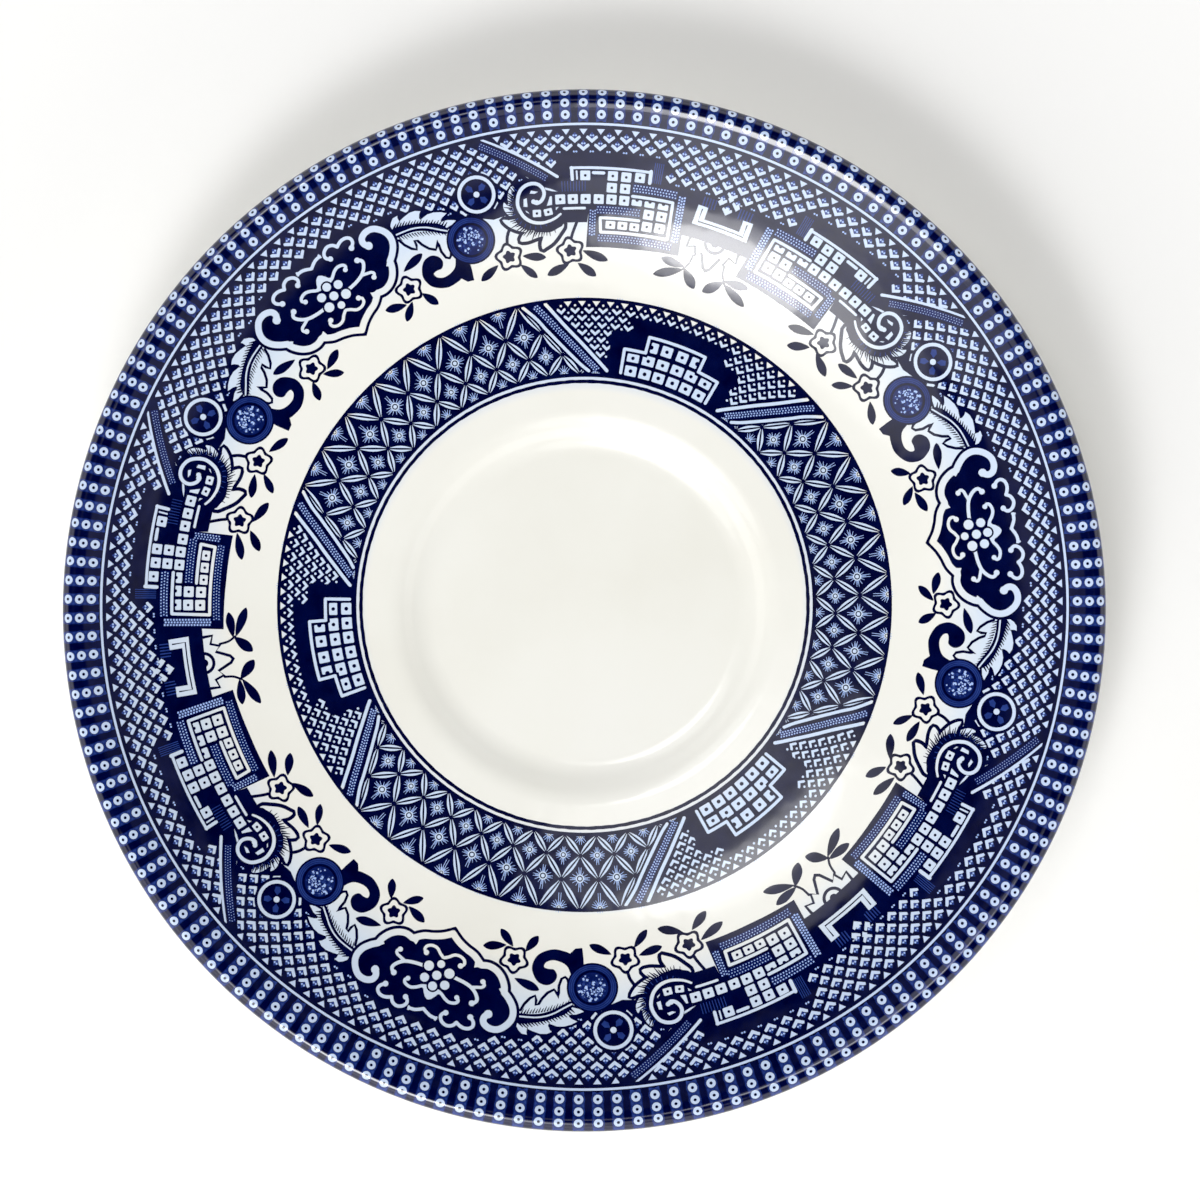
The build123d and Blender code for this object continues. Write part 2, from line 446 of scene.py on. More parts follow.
def draw_scroll(art):
    """The white volute, its cells, and the carved leaf round it."""
    middle = (27.3, 54.35)
    shade = [
        (23.3, 51.3), (24.2, 50.75), (25, 50.4), (25.7, 50.3), (26.6, 50.4), (27.4, 50.5), (28, 50.8),
        (28.9, 51), (30, 51.8), (30.4, 52.7), (30.4, 54.1), (30.05, 55.4), (29.7, 56.5), (28.4, 57.9),
        (26, 57.4), (24.4, 56.4), (24.4, 53), (23.3, 53.1),
    ]
    lobes = [
        # the big lobe at the lower left, then round to the lobe at the upper right
        [
            (23.2, 51.2), (23.9, 50.1), (25.1, 48.9), (26.4, 48.25), (26.9, 48.1), (26.95, 48.9),
            (26.55, 49.8), (26.5, 51), (24.5, 52),
        ],
        [
            (26.3, 50), (27.5, 49.75), (29, 49.45), (30.2, 49.6), (29.75, 50.35), (29.1, 50.75),
            (28.5, 51.6), (26.3, 51.4),
        ],
        [
            (28.9, 50.75), (30.1, 51), (31.5, 51.8), (32.3, 52.9), (31.3, 52.75), (30.6, 52.7),
            (29.6, 52.8), (28.8, 51.8),
        ],
        [
            (30.8, 53.1), (31.35, 53.5), (31.7, 54.1), (31.75, 54.75), (31.55, 55.2), (31.2, 54.85),
            (30.7, 54.9), (30.4, 54),
        ],
        [
            (29.75, 56.8), (29.95, 57.2), (30.3, 57), (30.75, 56.3), (30.95, 55.4), (30.8, 54.9),
            (30.3, 55.2), (29.9, 56.2),
        ],
    ]
    for lobe, width in zip(lobes, (1.0, 0.95, 0.9, 0.7, 0.5)):
        outline = curve(lobe, 3, closed=True)
        art.line("deep", outline + outline[:1], width, caps=False)
    art.deep(curve(shade, 4, closed=True))
    for lobe in lobes:
        art.bare(curve(lobe, 3, closed=True))
    art.deep(curve(shade, 3, closed=True))
    # Teeth of shade that run out into the lobes
    for i in range(38):
        turn = radians(-130.0 + 5.0 * i)
        root = 3.0 + 0.75 * max(0.0, cos(turn + 1.9))
        reach = root + 0.85 + 0.25 * sin(2.3 * i) + 0.15 * (i % 2)
        ends = around(middle, [
            (root * cos(turn), root * sin(turn)),
            (reach * cos(turn + 0.10), reach * sin(turn + 0.10)),
        ])
        art.line("deep", ends, [0.26, 0.06], caps=False)
    for i in range(14):
        turn = radians(-125.0 + 13.0 * i)
        ends = around(middle, [(r * cos(turn), r * sin(turn)) for r in (2.95, 3.45)])
        art.line("mid", ends, 0.10, caps=False)
    # White leaf over the volute, then the volute
    art.bare([(23.8, 55.72), (24.76, 56.17), (25.6, 56.44), (25.5, 56.1), (24.64, 55.83)])
    volute = curve([
        (23.62, 52.67), (24.4, 52.17), (25.36, 51.83), (26.4, 51.67), (27.5, 51.8), (28.4, 52.2),
        (29.1, 52.85), (29.52, 53.7), (29.69, 54.6), (29.45, 55.6), (28.97, 56.44), (28.25, 56.95),
        (27.4, 57.15), (26.6, 57), (26, 56.5), (25.75, 55.8), (25.9, 55.15), (26.35, 54.6), (26.95, 54.4),
        (27.35, 54.62),
    ], 3)
    count = len(volute)
    widths = [0.30 + 0.19 * min(1.0, 4.0 * i / count) for i in range(count)]
    art.line("bare", volute, widths)
    art.disc("bare", (26.95, 54.5), 0.36)
    art.disc("bare", (27.38, 54.68), 0.33)
    cell(art, (23.55, 54.66))
    cell(art, (25.42, 53.06), 1.15, 0.95, 0.18, turn=8.0)
    cell(art, (27.1, 53.03), 1.15, 1.0, 0.18, turn=-4.0)
    bits = [
        [(24.7, 55.17), (25, 55.17), (25.54, 53.9), (24.76, 54)],
        [(28.25, 55.28), (28.73, 55.17), (28.9, 54.17), (28.31, 54.06)],
        [(28.2, 53.1), (28.3, 53.35), (28.7, 53.65), (28.65, 53.4)],
        [(26.57, 55.94), (27.05, 55.72), (27.77, 55.83), (27.53, 56.22)],
        [(23.8, 53.67), (24.28, 53.61), (24.28, 53.2)],
    ]
    for bit in bits:
        art.bare(bit)


def draw_flowers(art):
    """The flowers that stand free on the white below the motifs, each with its stalk and its
    leaves: a leaf is its stalk's end, its tip and its width."""
    flowers = [
        ([(22.15, 49.4), (21.9, 50.1), (21.2, 51.6)], 0.40, (22.4, 47.6), 10.0, [
            ((20.3, 47.55), (16.25, 46.35), 1.15), ((21.15, 45.85), (18.1, 44.15), 1.15),
            ((22.8, 45.8), (26.5, 44.5), 1.15),
        ]),
        ([(32.35, 49.5), (32.1, 50.5), (31.65, 51.3)], 0.42, (32.45, 47.8), 4.0, [
            ((30.2, 47.55), (26.55, 46.95), 1.1), ((30.8, 46.4), (28.4, 44.35), 1.0),
            ((34.6, 47), (37.9, 45.6), 1.1),
        ]),
        ([], 0.0, (49.5, 48.45), -6.0, [
            ((47.95, 47.1), (46.35, 44.85), 1.1), ((50.1, 46.75), (52.55, 44.85), 1.05),
            ((51.2, 46.8), (54.55, 47.65), 1.15), ((48.85, 50.95), (45.25, 52), 1.15),
        ]),
    ]
    for stalk, width, centre, turn, leaves in flowers:
        if stalk:
            art.line("deep", curve(stalk), width)
        flower(art, centre, turn)
        for stalk_end, tip, leaf_width in leaves:
            leaf(art, stalk_end, tip, leaf_width)


def draw_dark_roundel(art):
    centre = (35, 57.1)
    art.disc("deep", centre, 2.98, 32)
    art.disc("bare", centre, 2.60, 32)
    art.disc("deep", centre, 2.12, 28)
    petal = [(0, 0.55), (0.42, 1.1), (0.3, 1.7), (-0.3, 1.7), (-0.42, 1.1)]
    for turn in (40, 130, 220, 310):
        art.fill("mid", around(centre, petal, turn))
    art.disc("bare", centre, 0.42, 12)


def draw_light_roundel(art):
    """The coin-like disc of fine rings about a stippled face."""
    centre = (37.6, 51.35)
    art.disc("deep", centre, 3.32, 36)
    art.disc("blue", centre, 3.10, 36)
    for radius, width in ((2.98, 0.1), (2.74, 0.14), (2.5, 0.1)):
        art.ring("mid", centre, radius, width, 30)
    art.disc("deep", centre, 2.36, 32)
    art.disc("blue", centre, 2.04, 28)
    stipple = Random(7)
    for _ in range(120):
        distance, turn = 1.80 * sqrt(stipple.random()), 2 * pi * stipple.random()
        spot = around(centre, [(distance * cos(turn), distance * sin(turn))])[0]
        fleck = regular(0.10 + 0.12 * stipple.random(), 4)
        ink = "pale" if stipple.random() < 0.5 else "mid"
        art.fill(ink, around(spot, fleck, 90.0 * stipple.random()))


def draw_feather(art):
    """The carved leaf from the light roundel to the cartouche."""
    lobes = [
        [(38.8, 54.56), (39.85, 54.94), (40.73, 55), (41.5, 54.7), (40.9, 53.9), (39.3, 54.2)],
        [
            (39.68, 55.87), (40.44, 56.28), (41.37, 56.58), (42.3, 56.63), (43.36, 56.33), (43.6, 55.6),
            (42, 54.8), (40.9, 54.6), (40.8, 55.25), (40.5, 55.5),
        ],
        [
            (42.95, 57.39), (43.6, 57.72), (44.41, 57.78), (45.35, 57.56), (46.05, 57.33), (46.3, 56.4),
            (44.5, 55.8), (43.2, 55.6), (43.5, 56.6), (43.25, 57.1),
        ],
        [
            (46.05, 58.11), (46.75, 58.06), (47.22, 57.67), (47.55, 57.2), (47.5, 56.2), (46.3, 56.3),
            (46.15, 57.3), (46.17, 57.8),
        ],
    ]
    below = [
        (40.9, 53.4), (41.08, 50.56), (41.6, 49.94), (42.13, 50.22), (42.4, 51.4), (42.31, 52.89),
        (43.07, 51.72), (44, 52.25), (44.65, 53.11), (45.41, 54.17), (45.5, 52.85), (46.28, 53.22),
        (46.98, 54.11), (47.5, 55.4), (45, 55.6), (42.8, 54.8),
    ]
    for lobe in lobes:
        art.line("deep", lobe[:6], 0.62)
    art.bare(below)
    for lobe in lobes:
        art.bare(lobe)
    zigzag = [
        (41, 50.9), (41.2, 50.3), (41.6, 49.98), (42.1, 50.25), (42.42, 51.2), (42.38, 52.2),
        (42.31, 52.8), (42.66, 52.2), (43.07, 51.75), (43.95, 52.25), (44.65, 53.11), (45, 53.85),
        (45.41, 54.05), (45.42, 53.4), (45.64, 52.82), (46.28, 53.22), (46.98, 54.11), (47.35, 55),
    ]
    art.line("deep", zigzag, 0.36)
    # The dark blade along the midrib, and the teeth of shade on both its sides
    midrib = curve([
        (40.5, 53.56), (41.6, 54.17), (42.78, 54.89), (43.95, 55.39), (45.1, 55.67), (46.3, 55.78),
        (47.45, 55.83),
    ], 3)
    blade = [
        (40.3, 53.75), (41.15, 54.8), (42.6, 55.5), (44.2, 56.1), (46, 56.55), (47.6, 56.75),
        (47.6, 55.5), (46.2, 55.35), (44.6, 55.1), (43, 54.45), (41.6, 53.65), (40.7, 53.2),
    ]
    art.deep(curve(blade, 3, closed=True))
    for i in range(19):
        t = i / 18
        root = (40.7 + 6.6 * t, 54.2 + 3.4 * t - 0.9 * t * t)
        tip = around(root, [(-0.62 - 0.1 * (i % 2), 0.50 + 0.1 * (i % 2))])[0]
        art.line("deep", [root, tip], [0.30, 0.07], caps=False)
    for i in range(17):
        t = i / 16
        root = (41.1 + 6.1 * t, 53.7 + 2.7 * t - 0.95 * t * t)
        tip = around(root, [(-0.24, -0.74 + 0.14 * (i % 2))])[0]
        art.line("deep", [root, tip], [0.20, 0.05], caps=False)
    art.line("bare", midrib, 0.22)


def draw_comma(art):
    """The solid dark scroll that springs from under the light roundel."""
    outline = [
        (40.7, 49.8), (41.3, 48.6), (42.4, 48), (43.7, 47.85), (44.65, 48.25), (44.85, 48.85),
        (44.2, 49.05), (43.3, 49.1), (42.8, 49.85), (43.1, 50.7), (44.1, 51.25), (45.4, 51), (46.3, 50),
        (46.65, 48.9), (46.2, 47.6), (45.1, 46.8), (43.5, 46.35), (41.8, 46.55), (41, 46.8),
    ]
    foot = [(41, 46.8), (40.2, 46.1), (39.1, 46), (38.9, 47.4), (38.8, 49)]
    art.deep(curve(outline, 4) + foot)


def draw_cartouche(art):
    """The dark cartouche on the other axis: its white band, scrolls and seven-dot flower."""
    axis = BORDER_SPAN
    side = [
        (51.4, 56.2), (51.9, 56.95), (51.7, 57.7), (50.8, 58.15), (49.7, 58), (48.7, 57.1), (48.25, 56),
        (48.45, 54.8), (49.2, 53.75), (49.95, 53.1),
    ]
    lower = [(49.95, 53.1), (50.15, 52.2), (50.8, 51.15), (51.8, 50.4), (53, 50.1), (54.2, 50.3)]
    last = [(54.35, 50.05), (55.48, 49.27), (56.9, 48.8), (58.35, 48.2), (axis + 0.1, 47.4)]
    band = curve(side, 5) + curve(lower, 5)[1:] + curve(last, 5)
    roof = [(axis + 2.0, 60.0), (54.4, 59.9), (52.8, 59.5), (51.9, 58.9), (51, 58.3)]
    art.line("deep", curve(side, 5), 1.64)
    art.line("deep", curve(lower, 5), 1.70)
    art.line("deep", curve(last, 5) + [(axis + 1.0, 46.9)], 1.66, caps=False)
    art.deep(band[8:] + [(axis + 2.0, 48.0)] + roof)
    art.line("bare", band, 0.88)
    art.bare([(axis - 0.6, 47.7), (axis, 47.95), (axis + 0.6, 47.7), (axis, 46.95)])
    art.disc("bare", (51.45, 56.35), 0.56)
    art.bare([(50, 53.6), (50.8, 52.75), (50.1, 52.3)])
    art.bare([(53.6, 50.3), (54.97, 50.85), (55.1, 49.6)])
    scrolls = [
        ([
            (53.6, 57.35), (53.1, 57.8), (53, 58.4), (53.45, 58.85), (54.15, 58.93), (54.75, 58.72),
            (55.1, 58.5),
        ], 0.47),
        ([
            (55.1, 58.5), (55.5, 59.05), (56.2, 59.28), (56.9, 58.98), (57.25, 58.4), (57.1, 57.95),
            (56.8, 57.75),
        ], 0.47),
        ([(57.75, 58.85), (58.6, 58.75), (axis + 0.05, 58.2)], 0.45),
        ([
            (56.05, 55.38), (55.72, 55.7), (55.98, 56.1), (56.77, 56.27), (57.49, 56), (58.14, 55.55),
            (58.7, 55.35),
        ], 0.44),
        ([
            (57.3, 52.93), (56.05, 53.07), (54.9, 53.35), (54.1, 53.8), (53.55, 54.4), (53.35, 54.9),
            (53.5, 55.25), (53.85, 55.5),
        ], 0.48),
        ([(54.5, 53.45), (53.7, 53.25), (53.15, 53.1), (52.88, 52.75), (53.2, 52.3)], 0.42),
        ([
            (56.9, 51.2), (56.48, 50.87), (56.63, 50.33), (57.35, 50), (58.2, 50.07), (58.93, 50.6),
            (axis + 0.05, 51.0),
        ], 0.42),
    ]
    for points, width in scrolls:
        art.line("bare", curve(points, 4), width)
    art.discs("bare", [
        ((53.6, 57.32), 0.40), ((56.78, 57.72), 0.38), ((56.02, 55.36), 0.34),
        ((53.9, 55.5), 0.40), ((53.2, 52.35), 0.36), ((56.9, 51.2), 0.37),
    ])
    art.line("bare", [(57.6, 58.9), (57.85, 58.85)], 0.62, caps=False)
    crown = [
        (axis + 0.2, 56.85), (axis - 0.1, 56.9), (axis - 0.46, 56.67), (axis - 0.82, 56.2),
        (axis - 1.03, 55.8), (axis - 1.5, 55.6), (axis - 1.1, 55.2), (axis + 0.2, 55.2),
    ]
    art.bare(crown)
    dots = [
        ((axis, 55.0), 0.60), ((axis - 1.51, 54.33), 0.62), ((axis - 1.57, 52.67), 0.68),
        ((axis, 53.47), 0.62), ((axis, 51.87), 0.53),
    ]
    art.discs("deep", dots, 16, grow=0.22)
    art.discs("bare", dots, 14)


def border_drawing():
    art = Drawing(BORDER_SPAN, 44.0, 65.0, 1.5, 1.5)
    draw_trellis(art)
    draw_fret_centre(art)
    draw_upper_field(art)
    draw_hatched_frame(art)
    draw_slanted_band(art)
    draw_feather(art)
    draw_comma(art)
    draw_dark_roundel(art)
    draw_light_roundel(art)
    draw_scroll(art)
    draw_flowers(art)
    draw_cartouche(art)
    art.deep(belt(64.12, 64.62))
    art.bare(belt(64.62, 65.5))
    return art


# ---- The bead border, which rolls over the edge

BEAD_RADII = (66.14, 67.76, 69.36)
BEAD_OUTER = 71.0


def bead_drawing():
    """Columns of three ringed beads between dark bars, on the same pitch as the trellis."""
    art = Drawing(BORDER_SPAN, 65.0, BEAD_OUTER, 0.22, TRELLIS_PITCH / 2)
    art.deep(along(belt(65.02, 72)[:2]) + belt(65.02, 72)[2:])
    strip = [(-0.8, 0.6), (0.8, 0.6), (0.82, 6), (-0.82, 6)]
    gap = mirrored([(0, 0.2), (0.66, 0.42), (0.7, 0), (0.66, -0.42), (0, -0.2)])
    for i in range(-1, 29):
        angle = (i + 0.5) * TRELLIS_PITCH
        art.fill("blue", around((angle, 65.1), strip))
        for inner, outer in zip((64.9,) + BEAD_RADII, BEAD_RADII + (71.4,)):
            art.fill("mid", around((angle, (inner + outer) / 2), gap))
        for radius in BEAD_RADII:
            art.disc("blue", (angle, radius), 0.86, 16)
        for radius in BEAD_RADII:
            art.ring("mid", (angle, radius), 0.76, 0.08, 16)
            art.disc("bare", (angle, radius), 0.62, 14)
            art.disc("deep", (angle, radius), 0.21, 8)
    return art


# ---- The inner band

BAND_SPAN = 59.8
BAND_PITCH = 2.71
BAND_ROW = 0.97
BAND_TOP = 40.75
STAR_PITCH = 7.76
STAR_OUTER, STAR_INNER = 36.75, 33.65
KNOT_TOP, KNOT_BOTTOM = 41.0, 31.2

FIELD_LINE = [(14.4, 31.55), (18.1, 33.6), (21.8, 36), (23.6, 37.3), (25.3, 38.75), (27.3, 40.65)]
STAR_LINE = [(18.8, 31.4), (21.1, 32.45), (24.6, 34.7), (27.6, 37.1), (29.3, 38.75), (31.6, 40.65)]


def line_angle(line, radius):
    """The angle at which a slanted line crosses a radius."""
    for (a0, r0), (a1, r1) in zip(line, line[1:]):
        if radius <= r1 or (a1, r1) == line[-1]:
            return a0 + (a1 - a0) * (radius - r0) / (r1 - r0)


def band_trellis_ground(point):
    angle, radius = abs(point[0]), point[1]
    if radius < 33.0 or angle > line_angle(FIELD_LINE, radius) - 1.3:
        return False
    if angle < 9.6:
        return radius > 38.7
    return radius > 36.9 or angle > 14.5


def draw_stepped_fret(art):
    """The stepped white line on the fret's axis, round its cells."""
    art.deep([(-1, 38.8), (9.1, 38.8), (9.3, 36.9), (14.2, 36.9), (14.3, 31), (-1, 31)])
    steps = [(-1, 36.93), (6.15, 36.93), (6.2, 34.75), (10.95, 34.75), (11, 31.5)]
    art.path("bare", steps, 0.42)
    cell(art, (1.74, 35.64), 1.5, 1.42, 0.24)
    cell(art, (4.55, 35.64), 1.0, 1.42, dot=0.0)
    art.disc("deep", (5.25, 35.66), 0.30)
    cell(art, (1.74, 33.74), 1.66, 1.32, 0.24)
    cell(art, (5.15, 33.76), 1.66, 1.34, 0.24)
    art.deep([(5.5, 34.55), (6.9, 34.55), (6.9, 34.2), (5.7, 34.2)])
    cell(art, (8.7, 33.7), 1.62, 1.10, 0.24)
    for angle in (1.78, 5.22, 8.70):
        cell(art, (angle, 31.95), 1.58, 1.38, 0.26)


def draw_double_lines(art):
    """The slanted white lines between fret and stars, with a hatched strip between them."""
    art.line("bare", curve(FIELD_LINE), 0.46)
    art.line("bare", curve(STAR_LINE), 0.42)
    middle = [
        ((line_angle(FIELD_LINE, r) + line_angle(STAR_LINE, r)) / 2, r)
        for r in (31.5, 33.0, 35.0, 37.0, 39.0, 40.6)
    ]
    for start, end in zip(middle, middle[1:]):
        dotted_hatch(art, start, end, 0.90, 3, 0.36, 0.15)


def lens_pair(art, start, end):
    """Two white lens strokes side by side, between two knots of the lattice."""
    (x0, y0), (x1, y1) = plan(start), plan(end)
    length = hypot(x1 - x0, y1 - y0)
    nx, ny = -(y1 - y0) / length * 0.27, (x1 - x0) / length * 0.27
    for side in (-1, 1):
        points = []
        for i in range(7):
            t = 0.07 + 0.86 * i / 6
            spread = side * (0.38 + 0.62 * sin(pi * i / 6))
            points.append(polar((
                x0 + (x1 - x0) * t + nx * spread, y0 + (y1 - y0) * t + ny * spread
            )))
        art.line("bare", points, swell(7, 0.31, 0.05), caps=False)


def star(art, centre, size, long_rays):
    """A ringed dot with short rays all round, and long double rays on the axes given."""
    for i in range(12):
        turn = radians(30.0 * i)
        reach = 1.02 if i % 2 else 1.12
        rays = around(centre, [
            (0.42 * size * sin(turn), 0.42 * size * cos(turn)),
            (reach * size * sin(turn), reach * size * cos(turn)),
        ])
        art.line("pale", rays, [0.10, 0.06], caps=False)
    for turn, reach in long_rays:
        for side in (-0.12, 0.12):
            ray = around(centre, [(side, 0.5 * size), (side * 1.3, reach)], turn)
            art.line("pale", ray, [0.10, 0.07], caps=False)
    art.disc("bare", centre, 0.54 * size, 16)
    art.disc("deep", centre, 0.38 * size, 14)
    art.disc("bare", centre, 0.25 * size, 12)


def draw_star_lattice(art):
    """Diamonds of paired lens strokes, each with a star in it."""
    axis = BAND_SPAN
    for k in range(-1, 8):
        near = axis - k * STAR_PITCH            # the column of the inner stars
        for side in (-1, 1):
            far = near + side * STAR_PITCH / 2  # the column of the outer stars
            lens_pair(art, (near, STAR_OUTER + 0.15), (far, KNOT_TOP))
            lens_pair(art, (near, STAR_OUTER + 0.15), (far, STAR_INNER))
            lens_pair(art, (near, KNOT_BOTTOM - 0.2), (far, STAR_INNER))
        far = near + STAR_PITCH / 2
        star(art, (near, STAR_INNER), 0.88, [(0, 1.3), (180, 1.1), (90, 1), (270, 1)])
        edge_rays = [(180, 2), (145, 1.15), (215, 1.15), (110, 1.1), (250, 1.1)]
        star(art, (near, 40.72), 0.70, edge_rays)
        star(art, (far, STAR_OUTER), 1.05, [(0, 1.8), (180, 1.5), (90, 1.35), (270, 1.35)])
        star(art, (far, 31.15), 0.55, [(0, 1.05), (42, 0.95), (318, 0.95)])


def band_drawing():
    art = Drawing(BAND_SPAN, 30.5, 41.4, 1.6, 2.2)
    art.deep(along([(LEFT, 30.60), (RIGHT, 30.60)]) + along([(RIGHT, 41.2), (LEFT, 41.2)]))
    draw_star_lattice(art)
    field = [(LEFT, 30.60)] + curve(STAR_LINE) + [(32.2, 41.2), (LEFT, 41.2)]
    art.deep(field)
    art.line("deep", curve(STAR_LINE), 0.95)
    chevron_trellis(
        art, BAND_PITCH, BAND_ROW, BAND_TOP, 33.0, 0.84, band_trellis_ground, twin_dots=False
    )
    draw_stepped_fret(art)
    draw_double_lines(art)
    art.deep(belt(40.78, 41.2))
    art.deep(belt(30.6, 31.1))
    return art


def ring_drawing():
    """The plain line round the cup's place."""
    art = Drawing(BAND_SPAN, 29.5, 30.5, 1.6, 1.5)
    outer, inner = [], []
    for i in range(121):
        angle = i * (BAND_SPAN + 1.0) / 120 - 0.5
        outer.append((angle, 30.21 + 0.03 * sin(0.9 * i) * sin(0.23 * i)))
        inner.append((angle, 29.75 + 0.03 * sin(0.7 * i + 1.0) * sin(0.31 * i)))
    art.deep(outer + inner[::-1])
    return art


# ---------------------------------------------------------------- The section, rounded

def rounded_section(grow):
    """(radius, height, normal's radius, normal's height) along the section, from the axis over
    the upper face, round the edge and back under, at a distance outside the clay."""
    corners = UPPER_FACE + UNDERSIDE
    rows = []
    previous = corners[0]
    for corner, following, size in zip(corners[1:], corners[2:], ROUNDS):
        before = Vector(corner) - Vector(previous)
        after = Vector(following) - Vector(corner)
        before.normalize()
        after.normalize()
        turn = atan2(before.x * after.y - before.y * after.x, before.dot(after))
        reach = size * tan(abs(turn) / 2)
        start = Vector(corner) - before * reach
        side = 1.0 if turn > 0 else -1.0
        centre = start + Vector((-before.y, before.x)) * size * side
        steps = max(4, ceil(abs(turn) * size / ROUND_STEP), ceil(degrees(abs(turn)) / ROUND_TURN))
        straight = (start - Vector(previous)).length
        runs = max(1, ceil(straight / STRAIGHT_STEP))
        normal = (-before.y, before.x)
        # The last row of a round is also the first of the straight after it
        for i in range(1 if rows else 0, runs):
            spot = Vector(previous).lerp(start, i / runs)
            rows.append((spot.x, spot.y, *normal))
        for i in range(steps + 1):
            bend = turn * i / steps
            direction = Vector((
                before.x * cos(bend) - before.y * sin(bend),
                before.x * sin(bend) + before.y * cos(bend),
            ))
            normal = Vector((-direction.y, direction.x))
            spot = centre - normal * size * side
            rows.append((spot.x, spot.y, normal.x, normal.y))
        previous = centre - normal * size * side
    rows.append((*corners[-1], 0.0, -1.0))
    return [(r + nr * grow, z + nz * grow, nr, nz) for r, z, nr, nz in rows]


def unrolled_face(lift):
    """Tables that lay a print on the glaze: distances out from the centre, and the radius,
    height and normal there. Past the crest of the rim the distance is measured round the edge."""
    rows = np.array(rounded_section(GLAZE_THICKNESS + lift))
    crest = int(np.argmax(rows[:, 1]))
    rows = rows[: crest + EDGE_ROWS]
    distance = rows[:, 0].copy()
    flare_end = crest - int(np.argmax(np.abs(np.diff(rows[crest::-1, 3])) < 1e-9))
    steps = np.hypot(np.diff(rows[:, 0]), np.diff(rows[:, 1]))
    distance[flare_end + 1:] = distance[flare_end] + np.cumsum(steps[flare_end:])
    return distance, rows


# ---------------------------------------------------------------- Ink meshes

# Directions, in degrees round from +X, of the frets and of the axes between them. The transfers
# were cut and joined by eye, so the repeats differ by a degree or two.
BORDER_AXES = [10.4, 70.2, 128.9, 188.6, 248.2, 310.5]
BAND_AXES = [9.9, 70.2, 129.8, 189.6, 249.6, 309.5]


def half_repeats(axes):
    """(direction of the fret, direction of the next axis) for all six halves of the repeats."""
    pairs = []
    for i in (1, 3, 5):
        pairs.append((axes[i], axes[i - 1]))
        pairs.append((axes[i], axes[(i + 1) % 6] + (360.0 if i == 5 else 0.0)))
    return pairs


def triangles_by_ink(art):
    """Cuts the drawing into triangles that never cross an outline, and sorts them by the ink of
    the topmost shape. Returns the points, as (angle, radius), and the triangles of each ink."""
    stretch = radians(1.0) * (art.lowest + art.highest) / 2
    points, loops, edges = [], [], []
    for _, outline in art.shapes:
        flat = [(angle * stretch, radius) for angle, radius in outline]
        area = sum(x0 * y1 - x1 * y0 for (x0, y0), (x1, y1) in zip(flat, flat[1:] + flat[:1]))
        if area < 0:
            flat.reverse()
        loops.append(list(range(len(points), len(points) + len(flat))))
        points += flat
    spokes = ceil(art.span / art.angle_step)
    rings = ceil((art.highest - art.lowest) / art.edge_step)
    for i in range(spokes + 1):
        x = art.span * stretch * i / spokes
        edges.append((len(points), len(points) + 1))
        points += [(x, art.lowest), (x, art.highest)]
    for i in range(rings + 1):
        y = art.lowest + (art.highest - art.lowest) * i / rings
        edges.append((len(points), len(points) + 1))
        points += [(0.0, y), (art.span * stretch, y)]
    # 1: only what lies inside the outlines. 1e-5: points this near in mm are one point.
    found, _, faces, _, _, owners = delaunay_2d_cdt(
        [Vector(point) for point in points], edges, loops, 1, 1e-5, True
    )
    spots = np.array([(point.x / stretch, point.y) for point in found])
    sorted_faces = {}
    for face, owner in zip(faces, owners):
        ink = art.shapes[max(owner)][0] if owner else "bare"
        if ink == "bare":
            continue
        angle, radius = spots[face].mean(axis=0)
        if 0.0 < angle < art.span and art.lowest < radius < art.highest:
            sorted_faces.setdefault(ink, []).append(face)
    return spots, sorted_faces


def lay_on_glaze(spots, fret, other, span, stretch, face_tables):
    """Takes (angle, radius) points of a drawing to their places and normals on the saucer."""
    distance, rows = face_tables
    angle = np.radians(fret + (other - fret) * spots[:, 0] / span)
    radius = stretch(spots[:, 1])
    x = radius * np.cos(angle)
    y = radius * np.sin(angle) + PRINT_SHIFT
    out = np.hypot(x, y)
    r, z, nr, nz = (np.interp(out, distance, rows[:, k]) for k in range(4))
    ux, uy = x / out, y / out
    places = np.column_stack((r * ux, r * uy, z)) * MM
    normals = np.column_stack((nr * ux, nr * uy, nz))
    return places, normals


def add_object(name, data):
    piece = bpy.data.objects.new(name, data)
    bpy.context.scene.collection.objects.link(piece)
    return piece


def mesh_object(name, places, faces, material, normals):
    mesh = bpy.data.meshes.new(name)
    mesh.from_pydata(places.tolist(), [], faces)
    mesh.shade_smooth()
    mesh.normals_split_custom_set_from_vertices(normals.tolist())
    mesh.materials.append(material)
    return add_object(name, mesh)


def ink_objects(name, art, axes, stretch, materials, node):
    """One object for each ink of a drawing, all round the saucer, in place of its CAD ring."""
    spots, sorted_faces = triangles_by_ink(art)
    face_tables = unrolled_face(0.0)
    repeats = [
        (other > fret, *lay_on_glaze(spots, fret, other, art.span, stretch, face_tables))
        for fret, other in half_repeats(axes)
    ]
    for ink, faces in sorted_faces.items():
        used = sorted({i for face in faces for i in face})
        place_of = {old: new for new, old in enumerate(used)}
        small = [[place_of[i] for i in face] for face in faces]
        all_faces = []
        for k, (forward, _, _) in enumerate(repeats):
            shift = k * len(used)
            for face in small:
                corners = [i + shift for i in face]
                all_faces.append(corners[::-1] if forward else corners)
        places = np.concatenate([places[used] for _, places, _ in repeats])
        normals = np.concatenate([normals[used] for _, _, normals in repeats])
        piece = mesh_object(f"{name}_{ink}", places, all_faces, materials[ink], normals)
        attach(piece, "root")
        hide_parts(node)


# ---------------------------------------------------------------- Clay and glaze, turned

